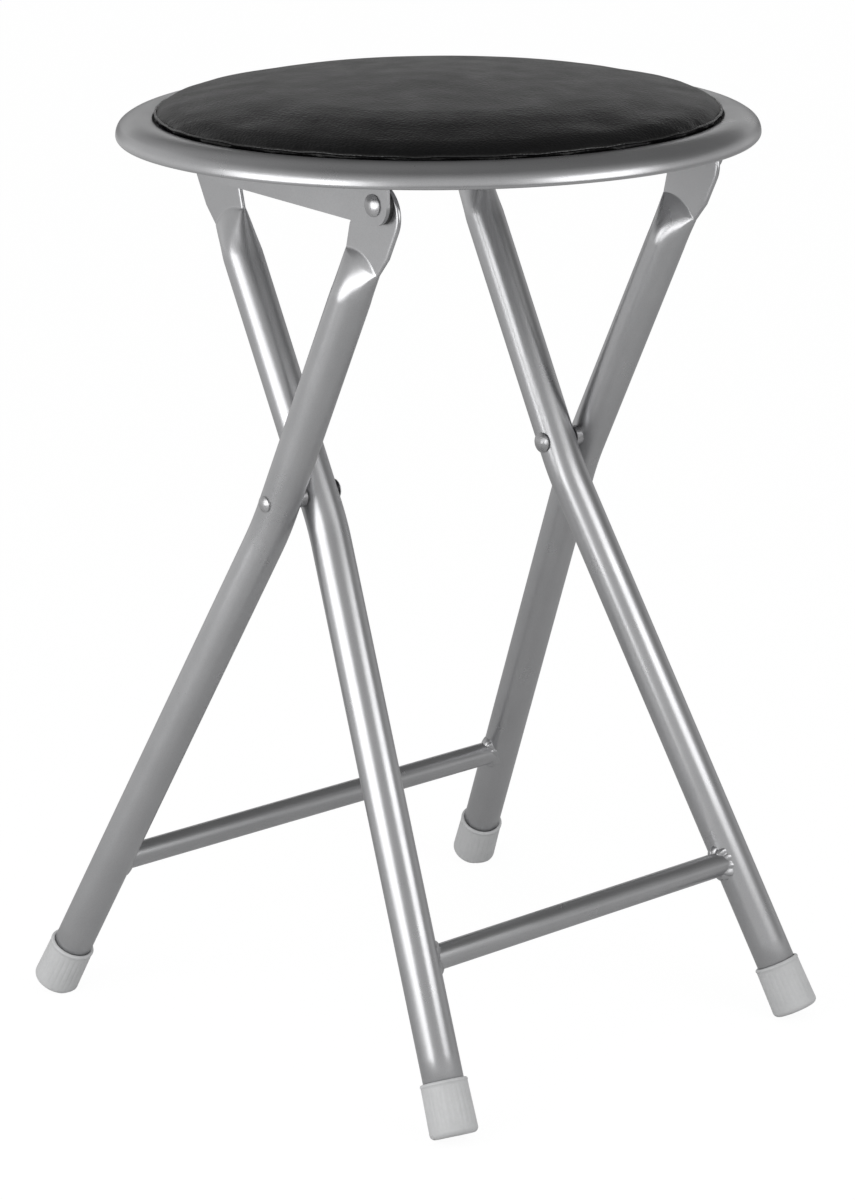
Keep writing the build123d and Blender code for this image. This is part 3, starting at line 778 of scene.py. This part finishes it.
# Bead: the fold where the vinyl turns under the pad's edge stands out as a thin welted line all round. It is
# the same vinyl, pulled tight, so it shines more than the top of the pad.
def make_bead(wander):
    """Thin ring round the pad's side that rises and falls a little on its way."""
    radius, thickness = pad_radius - 0.0006, 0.0007
    bead_height, wave, waves_round = 0.0050, 0.00012, (5, 13, 29, 47)
    around, across = 360, 10
    phases = [wander.uniform(0, 2 * math.pi) for _ in range(4)]
    verts = []
    for step in range(around):
        angle = 2 * math.pi * step / around
        rise = wave * sum(math.sin(turns * angle + phase) for turns, phase in zip(waves_round, phases))
        middle = Vector((math.cos(angle) * radius, math.sin(angle) * radius, pad_base + bead_height + rise))
        outward = Vector((math.cos(angle), math.sin(angle), 0))
        for place in range(across):
            turn = 2 * math.pi * place / across
            lift = Vector((0, 0, math.sin(turn) * thickness))
            verts.append(middle + outward * math.cos(turn) * thickness + lift)
    stretched = black_vinyl("stretched_vinyl", gloss=0.6, low_rough=0.16, high_rough=0.24)
    bead = link_mesh("vinyl_bead", verts, ring_faces(around, across, close_ends=True), stretched)
    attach(bead, "seat")


make_bead(random.Random(3))


# Studio: a white sweep with a soft box on each side, and a long lens a little above the seat, as in the
# photo. Reflections see a dimmer room, paler low down and dark above and behind.
camera_place = Vector((1.3104, -1.1285, 0.7206))
camera_yaw, camera_pitch, camera_roll = (math.radians(a) for a in (49.482, 16.607, -0.401))
photo_height, focal_pixels, sensor = 1200, 3735.1, 36.0


def add_camera():
    """Camera at the photo's place, turned by its yaw, pitch and roll."""
    forward = Vector(
        (
            -math.sin(camera_yaw) * math.cos(camera_pitch),
            math.cos(camera_yaw) * math.cos(camera_pitch),
            -math.sin(camera_pitch),
        )
    )
    level = forward.cross(Vector((0, 0, 1))).normalized()
    upward = level.cross(forward)
    right = level * math.cos(camera_roll) + upward * math.sin(camera_roll)
    up = upward * math.cos(camera_roll) - level * math.sin(camera_roll)
    data = bpy.data.cameras.new("camera")
    data.sensor_width = sensor
    data.lens = focal_pixels * sensor / photo_height
    camera = bpy.data.objects.new("camera", data)
    bpy.context.scene.collection.objects.link(camera)
    turn = Matrix((right, up, -forward)).transposed()
    camera.matrix_world = Matrix.Translation(camera_place) @ turn.to_4x4()
    bpy.context.scene.camera = camera


def add_lamp(name, turn, rise, distance, size, brightness):
    """Rectangular lamp facing the stool, turned from the camera's side and raised, in degrees."""
    aim = Vector((0, 0, 0.25))
    azimuth = camera_yaw + math.radians(turn)
    height = math.radians(rise)
    level = math.cos(height)
    back = Vector((math.sin(azimuth) * level, -math.cos(azimuth) * level, math.sin(height)))
    data = bpy.data.lights.new(name, "AREA")
    data.shape = "RECTANGLE"
    data.size, data.size_y = size
    data.energy = brightness * math.pi * size[0] * size[1]
    lamp = bpy.data.objects.new(name, data)
    bpy.context.scene.collection.objects.link(lamp)
    lamp.location = aim + back * distance
    lamp.rotation_mode = "QUATERNION"
    lamp.rotation_quaternion = back.to_track_quat("Z", "Y")


def add_world():
    """White for the lens, the room's heights and sides for reflections, and a plain fill for the rest."""
    world = bpy.data.worlds.new("sweep")
    bpy.context.scene.world = world
    world.use_nodes = True
    tree = world.node_tree
    tree.nodes.clear()
    seen = tree.nodes.new("ShaderNodeBackground")
    mirrored = tree.nodes.new("ShaderNodeBackground")
    brightest = 1.2
    mirrored.inputs["Strength"].default_value = brightest
    fill = tree.nodes.new("ShaderNodeBackground")
    fill.inputs["Strength"].default_value = 0.72
    place = tree.nodes.new("ShaderNodeTexCoord")
    split = tree.nodes.new("ShaderNodeSeparateXYZ")
    tree.links.new(place.outputs["Generated"], split.inputs["Vector"])

    def add_heights(levels):
        """Grey level by height of the direction looked in."""
        ramp = tree.nodes.new("ShaderNodeValToRGB")
        stops = ramp.color_ramp.elements
        for place_up, _ in levels[2:]:
            stops.new(place_up)
        for stop, (place_up, level) in zip(stops, sorted(levels)):
            shade = level / brightest
            stop.position, stop.color = place_up, (shade, shade, shade, 1)
        tree.links.new(split.outputs["Z"], ramp.inputs["Fac"])
        return ramp.outputs["Color"]

    def add_side(turn, start, end):
        """How far the direction looked in lies towards one side, counted from the camera."""
        side = tree.nodes.new("ShaderNodeVectorMath")
        side.operation = "DOT_PRODUCT"
        way = camera_yaw - math.pi / 2 + math.radians(turn)
        side.inputs[1].default_value = (math.cos(way), math.sin(way), 0)
        tree.links.new(place.outputs["Generated"], side.inputs[0])
        return add_range(tree, side.outputs["Value"], 0, 1, start, end)

    room = add_heights([(0.0, 0.80), (0.17, 0.66), (0.55, 0.57), (0.68, 0.40), (0.87, 0.27), (1.0, 0.15)])
    dark_end = add_heights([(0.0, 0.62), (0.13, 0.50), (0.24, 0.38), (0.36, 0.16), (1.0, 0.12)])
    low_backdrop = [(0.0, 0.18), (0.06, 0.2), (0.13, 0.45), (0.20, 0.85)]
    high_backdrop = [(0.25, 1.1), (0.275, 0.6), (0.30, 0.12), (0.34, 0.06)]
    backdrop = add_heights(low_backdrop + high_backdrop)
    shaded = add_mix(tree, add_side(143, 0.2, 0.6), room, dark_end)
    surround = add_mix(tree, add_side(180, 0.80, 0.95), shaded, backdrop)
    tree.links.new(surround, mirrored.inputs["Color"])
    path = tree.nodes.new("ShaderNodeLightPath")
    clear = tree.nodes.new("ShaderNodeMath")
    clear.operation = "MAXIMUM"
    tree.links.new(path.outputs["Is Camera Ray"], clear.inputs[0])
    tree.links.new(path.outputs["Is Transmission Ray"], clear.inputs[1])
    first = tree.nodes.new("ShaderNodeMixShader")
    second = tree.nodes.new("ShaderNodeMixShader")
    out = tree.nodes.new("ShaderNodeOutputWorld")
    tree.links.new(path.outputs["Is Glossy Ray"], first.inputs["Fac"])
    tree.links.new(fill.outputs["Background"], first.inputs[1])
    tree.links.new(mirrored.outputs["Background"], first.inputs[2])
    tree.links.new(clear.outputs["Value"], second.inputs["Fac"])
    tree.links.new(first.outputs["Shader"], second.inputs[1])
    tree.links.new(seen.outputs["Background"], second.inputs[2])
    tree.links.new(second.outputs["Shader"], out.inputs["Surface"])
    seen.inputs["Color"].default_value = (1, 1, 1, 1)


def add_floor():
    """Pale floor that keeps a soft shadow, white to the lens, with a painted glow towards its left that only
    reflections see.
    """
    half, below_feet = 4.0, 0.0002
    material, tree, shader = start_material("pale_floor")
    shader.inputs["Base Color"].default_value = (0.65, 0.65, 0.65, 1)
    shader.inputs["Roughness"].default_value = 0.9
    shader.inputs["Specular IOR Level"].default_value = 0.0
    glow = tree.nodes.new("ShaderNodeEmission")
    glow.inputs["Strength"].default_value = 1.08
    path = tree.nodes.new("ShaderNodeLightPath")
    lens_share = tree.nodes.new("ShaderNodeMath")
    lens_share.operation = "MULTIPLY"
    lens_share.inputs[1].default_value = 0.88
    place = tree.nodes.new("ShaderNodeTexCoord")
    leftward = tree.nodes.new("ShaderNodeVectorMath")
    leftward.operation = "DOT_PRODUCT"
    leftward.inputs[1].default_value = (-math.cos(camera_yaw), -math.sin(camera_yaw), 0)
    mirror_share = tree.nodes.new("ShaderNodeMath")
    mirror_share.operation = "MULTIPLY"
    share = tree.nodes.new("ShaderNodeMath")
    share.operation = "MAXIMUM"
    mix = tree.nodes.new("ShaderNodeMixShader")
    tree.links.new(path.outputs["Is Camera Ray"], lens_share.inputs[0])
    tree.links.new(place.outputs["Object"], leftward.inputs[0])
    # Painted light: in reflections the floor glows brighter towards its left, emission laid on top of what the
    # lamps give it.
    painted_glow_left = add_range(tree, leftward.outputs["Value"], 0, 0.38, 0.25, 1.2)
    tree.links.new(path.outputs["Is Glossy Ray"], mirror_share.inputs[0])
    tree.links.new(painted_glow_left, mirror_share.inputs[1])
    tree.links.new(lens_share.outputs["Value"], share.inputs[0])
    tree.links.new(mirror_share.outputs["Value"], share.inputs[1])
    tree.links.new(share.outputs["Value"], mix.inputs["Fac"])
    tree.links.new(shader.outputs["BSDF"], mix.inputs[1])
    tree.links.new(glow.outputs["Emission"], mix.inputs[2])
    tree.links.new(mix.outputs["Shader"], tree.nodes["Material Output"].inputs["Surface"])
    corners = [(-half, -half, 0), (half, -half, 0), (half, half, 0), (-half, half, 0)]
    floor = link_mesh("floor", corners, [(0, 1, 2, 3)], material, smooth=False)
    floor.location.z = -below_feet


add_camera()
add_lamp("soft_box_left", turn=-47, rise=9, distance=0.75, size=(0.64, 0.46), brightness=2.2)
add_lamp("soft_box_right", turn=50, rise=18, distance=0.65, size=(0.38, 0.28), brightness=2.3)
add_world()
add_floor()
bpy.context.scene.view_settings.view_transform = "Standard"
